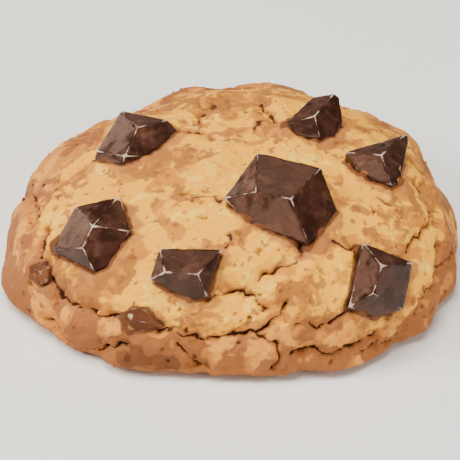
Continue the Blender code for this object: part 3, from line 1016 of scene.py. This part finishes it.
def refineBlock(bm, grain):
    # cut into small triangles, so that its faces can be uneven
    for size in (4.0, 2.0, 1.0, grain):
        bmesh.ops.triangulate(bm, faces=[face for face in bm.faces if len(face.verts) > 3])
        long = [edge for edge in bm.edges if edge.calc_length() > size]
        bmesh.ops.subdivide_edges(bm, edges=long, cuts=1)
    bmesh.ops.triangulate(bm, faces=[face for face in bm.faces if len(face.verts) > 3])
    bm.normal_update()


def fixedOrder(points, faces):
    # a hull's points and faces come in any order, so each run puts them in the same one
    order = np.lexsort(points.T)
    place = np.argsort(order).tolist()
    turned = []
    for face in faces:
        corners = [place[index] for index in face]
        first = corners.index(min(corners))
        turned.append(tuple(corners[first:] + corners[:first]))
    return order, sorted(turned)


def buildChocolate(name, piece, kind, look):
    bm, cutEdges = cutBlock(piece, kind)
    refineBlock(bm, kind["grain"])
    edgeLayer = bm.verts.layers.float["edge"]
    points = np.array([vert.co for vert in bm.verts])
    out = np.array([vert.normal for vert in bm.verts])
    onEdge = np.array([vert[edgeLayer] for vert in bm.verts])
    order, faces = fixedOrder(points, [[vert.index for vert in face.verts] for face in bm.faces])
    points, out, onEdge = points[order], out[order], onEdge[order]
    bm.free()

    # where the painted highlights go: the distance to each cut edge, how near a corner, and a painted
    # glint's place
    edgeAway = np.min([segmentDistance(points, start, end) for start, end in cutEdges], axis=0)
    tips = np.array([*piece["outline"], *piece["crown"]], float)
    toTip = np.min(np.linalg.norm(points[:, None] - tips[None], axis=2), axis=1)
    glint = np.exp(-((toTip / kind["glintReach"]) ** 2))
    paintedGlint = np.zeros(len(points))
    if "paintedGlint" in piece:
        paintedGlintPlace, paintedGlintRadius = piece["paintedGlint"]
        away = np.linalg.norm(points - np.array(paintedGlintPlace), axis=1)
        paintedGlint = np.exp(-((away / paintedGlintRadius) ** 2))

    # the faces are slightly uneven, and the edges nicked, in each piece's own way
    seed = np.array([sum(map(ord, name)) % 97, 3.0, 5.0])
    shift = sum(height * noiseOver(points, size, seed) for height, size in unevenness)
    nicks = smoothStep(noiseOver(points, 1.0, seed + 20), 0.1, 0.5)
    shift -= kind["nick"] * nicks * (0.25 + 0.75 * onEdge)
    points = points + out * shift[:, None]
    top = points[:, 2].max()
    raised = smoothStep(points[:, 2], 0.12 * top, 0.4 * top)  # none where it meets the dough
    origin, axes = pieceFrame(piece["place"])
    made = addPiece(name + "_cut", (points @ axes + origin) * mm, faces, look)
    addAttribute(made, "edgeAway", edgeAway)
    addAttribute(made, "raised", raised)
    addAttribute(made, "glint", glint)
    addAttribute(made, "paintedGlint", paintedGlint)
    return made


# Loose crumbs and flecks of chocolate, in metres as Geometry Nodes takes them
crumbs = {"perSquareMetre": 240000.0, "smallest": 0.00015, "largest": 0.00042, "seed": 4}
flecks = {"perSquareMetre": 9000.0, "smallest": 0.0003, "largest": 0.0009, "seed": 12}
lumpShape = {
    "flattest": (0.6, 0.7, 0.5),
    "fullest": (1.3, 1.2, 0.9),
    "wobble": 0.00035,
    "wobblesPerMetre": 2600.0,
}


def scatterTree():
    # small lumps strewn over a surface where its "crumbly" attribute is high
    tree = bpy.data.node_groups.new("strewnLumps", "GeometryNodeTree")
    sockets = {
        "Surface": "NodeSocketGeometry",
        "Per Square Metre": "NodeSocketFloat",
        "Smallest": "NodeSocketFloat",
        "Largest": "NodeSocketFloat",
        "Seed": "NodeSocketInt",
        "Look": "NodeSocketMaterial",
    }
    for name, kind in sockets.items():
        tree.interface.new_socket(name, in_out="INPUT", socket_type=kind)
    tree.interface.new_socket("Lumps", in_out="OUTPUT", socket_type="NodeSocketGeometry")
    board = Board(tree)
    given = board.node("NodeGroupInput")
    inputs = [Wire(board, given.outputs[index]) for index in range(len(sockets))]
    surface, density, smallest, largest, seed, look = inputs
    crumbly = board.wire("GeometryNodeInputNamedAttribute", {"data_type": "FLOAT"}, {"Name": "crumbly"})
    spread = {"Mesh": surface, "Density": density * crumbly, "Seed": seed}
    points = board.node("GeometryNodeDistributePointsOnFaces", None, spread)
    lump = board.wire("GeometryNodeMeshIcoSphere", None, {"Radius": 1.0, "Subdivisions": 1})
    size = {2: smallest, 3: largest, 8: seed}
    size = board.wire("FunctionNodeRandomValue", {"data_type": "FLOAT"}, size, output=1)
    squash = {0: lumpShape["flattest"], 1: lumpShape["fullest"], 8: seed}
    squash = board.wire("FunctionNodeRandomValue", {"data_type": "FLOAT_VECTOR"}, squash)
    shape = board.wire("ShaderNodeVectorMath", {"operation": "SCALE"}, {0: squash, "Scale": size})
    fullTurn = 6.28
    turn = {0: (0.0, 0.0, 0.0), 1: (fullTurn, fullTurn, fullTurn), 8: seed}
    turn = board.wire("FunctionNodeRandomValue", {"data_type": "FLOAT_VECTOR"}, turn)
    placed = {"Points": Wire(board, points.outputs[0]), "Instance": lump, "Rotation": turn, "Scale": shape}
    lumps = board.wire("GeometryNodeInstanceOnPoints", None, placed)
    solid = board.wire("GeometryNodeRealizeInstances", None, {0: lumps})
    place = board.wire("GeometryNodeInputPosition")
    wobble = {"Vector": place, "Scale": lumpShape["wobblesPerMetre"], "Detail": 1.0}
    wobble = board.wire("ShaderNodeTexNoise", None, wobble, output=1)
    centred = {0: wobble, 1: (0.5, 0.5, 0.5)}
    centred = board.wire("ShaderNodeVectorMath", {"operation": "SUBTRACT"}, centred)
    offset = {0: centred, "Scale": lumpShape["wobble"]}
    offset = board.wire("ShaderNodeVectorMath", {"operation": "SCALE"}, offset)
    uneven = board.wire("GeometryNodeSetPosition", None, {"Geometry": solid, "Offset": offset})
    smooth = board.wire("GeometryNodeSetShadeSmooth", None, {"Geometry": uneven})
    dressed = board.wire("GeometryNodeSetMaterial", None, {"Geometry": smooth, "Material": look})
    board.node("NodeGroupOutput", None, {0: dressed})
    return tree


def strew(name, surface, tree, sizes, look):
    made = bpy.data.objects.new(name, surface.data.copy())
    bpy.context.scene.collection.objects.link(made)
    change = made.modifiers.new("strew", "NODES")
    change.node_group = tree
    values = {
        "Per Square Metre": sizes["perSquareMetre"],
        "Smallest": sizes["smallest"],
        "Largest": sizes["largest"],
        "Seed": sizes["seed"],
        "Look": look,
    }
    for item in tree.interface.items_tree:
        if item.name in values:
            change[item.identifier] = values[item.name]
    evaluated = made.evaluated_get(bpy.context.evaluated_depsgraph_get())
    lumps = bpy.data.meshes.new_from_object(evaluated)
    made.modifiers.remove(change)
    made.data = lumps
    return made


dark, darkWarm = chocolateLook["dark"], chocolateLook["darkWarm"]
milk, milkDark = chocolateLook["milk"], chocolateLook["milkDark"]
darkChocolate = chocolateMaterial("darkChocolate", dark, darkWarm, edgeHighlightShare=0.7, gloss=0.3)
milkChocolate = chocolateMaterial("milkChocolate", milk, milkDark, edgeHighlightShare=0.3, gloss=0.05)
bakedDough = doughMaterial()

doughBody = buildDough(bakedDough)
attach(doughBody, "root")
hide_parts("dough")
print("dough:", len(doughBody.data.polygons), "faces")

finishes = ((chunks, darkChocolate, "dark_chocolate"), (chips, milkChocolate, "milk_chocolate"))
for kind, look, slotName in finishes:
    for name, piece in kind["pieces"].items():
        made = buildChocolate(name, piece, kind, look)
        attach(made, "root")
        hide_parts(name)
print("chocolate:", len(chunks["pieces"]), "chunks and", len(chips["pieces"]), "chips")

lumpTree = scatterTree()
crumbLumps = strew("crumbLumps", doughBody, lumpTree, crumbs, bakedDough)
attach(crumbLumps, "root")
fleckLumps = strew("chocolateFlecks", doughBody, lumpTree, flecks, milkChocolate)
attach(fleckLumps, "root")
print("crumbs:", len(crumbLumps.data.polygons), "faces")
print("flecks:", len(fleckLumps.data.polygons), "faces")

# The camera looks down from the front, and the key light stands to the left. Places are in metres.
studio = {
    "elevation": 36.0,
    "distance": 0.5,
    "pixelsPerMillimetre": 5.056,
    "imageWidth": 460,
    "aimUp": 4.549,
    "sensorWidth": 36.0,
    "nearestSeen": 0.01,
    "floorHalf": 3.0,
    "floorDrop": 0.0002,
    "floorShade": (0.93, 0.93, 0.93, 1),
    "lightColour": (1.0, 0.95, 0.87),
    "keyColour": (1.0, 0.93, 0.8),
    "glintColour": (1.0, 0.67, 0.51),
    "worldStrength": 0.16,
    # each light's place, size and power
    "lights": {
        "keyLight": ((-0.62, -0.14, 0.5), 0.28, 5.2),
        "topLight": ((-0.12, -0.12, 0.88), 0.6, 11.5),
        "fillLight": ((0.55, -0.45, 0.25), 0.5, 3.3),
    },
    # and the panels that show only as glints on the chocolate
    "panels": {
        "leftPanel": ((-0.66, 0.7, 0.24), 0.5, 3.4),
        "backPanel": ((-0.02, 0.95, 0.3), 0.4, 0.35),
        "highPanel": ((0.08, 0.66, 0.74), 0.36, 0.9),
        "sidePanel": ((-0.94, 0.18, 0.27), 0.4, 3.0),
        "frontPanel": ((-0.64, -0.7, 0.32), 0.4, 3.2),
        "topPanel": ((0.16, 0.08, 0.98), 0.3, 2.0),
        "overPanel": ((-0.26, 0.24, 0.93), 0.3, 0.8),
        "nearPanel": ((-0.24, -0.48, 0.84), 0.34, 2.8),
        "rightPanel": ((0.66, 0.68, 0.34), 0.4, 0.2),
    },
}


def addLight(name, place, size, power, shade):
    light = bpy.data.lights.new(name, "AREA")
    light.size = size
    light.energy = power
    light.color = shade
    lamp = bpy.data.objects.new(name, light)
    lamp.location = place
    lamp.rotation_euler = (-Vector(place)).to_track_quat("-Z", "Y").to_euler()
    bpy.context.scene.collection.objects.link(lamp)
    return lamp


def addStudio():
    tilt = math.radians(studio["elevation"])
    camera = bpy.data.cameras.new("photoCamera")
    camera.sensor_width = studio["sensorWidth"]
    pixels = studio["pixelsPerMillimetre"] * studio["distance"] / mm
    camera.lens = camera.sensor_width * pixels / studio["imageWidth"]
    camera.clip_start = studio["nearestSeen"]
    stand = bpy.data.objects.new("photoCamera", camera)
    aim = Vector((dome["centring"][0], dome["centring"][1], 0)) * mm
    aim += Vector((0, math.sin(tilt), math.cos(tilt))) * studio["aimUp"] * mm
    stand.location = aim + Vector((0, -math.cos(tilt), math.sin(tilt))) * studio["distance"]
    stand.rotation_euler = (math.pi / 2 - tilt, 0, 0)
    bpy.context.scene.collection.objects.link(stand)
    bpy.context.scene.camera = stand

    for name, (place, size, power) in studio["lights"].items():
        isKey = name == "keyLight"
        lamp = addLight(name, place, size, power, studio["keyColour" if isKey else "lightColour"])
        lamp.visible_glossy = isKey
    for name, (place, size, power) in studio["panels"].items():
        panel = addLight(name, place, size, power, studio["glintColour"])
        panel.visible_diffuse = False
    world = bpy.data.worlds.new("studioAir")
    bpy.context.scene.world = world
    world.use_nodes = True
    air = world.node_tree.nodes["Background"]
    air.inputs["Color"].default_value = (1, 1, 1, 1)
    air.inputs["Strength"].default_value = studio["worldStrength"]
    world.cycles_visibility.glossy = False  # the panels make the glints

    bm = bmesh.new()
    bmesh.ops.create_grid(bm, x_segments=1, y_segments=1, size=studio["floorHalf"])
    mesh = bpy.data.meshes.new("studioFloor")
    bm.to_mesh(mesh)
    bm.free()
    paper, _, shader = newMaterial("paleFloor")
    shader.inputs["Base Color"].default_value = studio["floorShade"]
    shader.inputs["Roughness"].default_value = 0.9
    mesh.materials.append(paper)
    floor = bpy.data.objects.new("studioFloor", mesh)
    floor.location.z = -studio["floorDrop"]
    bpy.context.scene.collection.objects.link(floor)


addStudio()
print("studio: camera, lights and a floor")
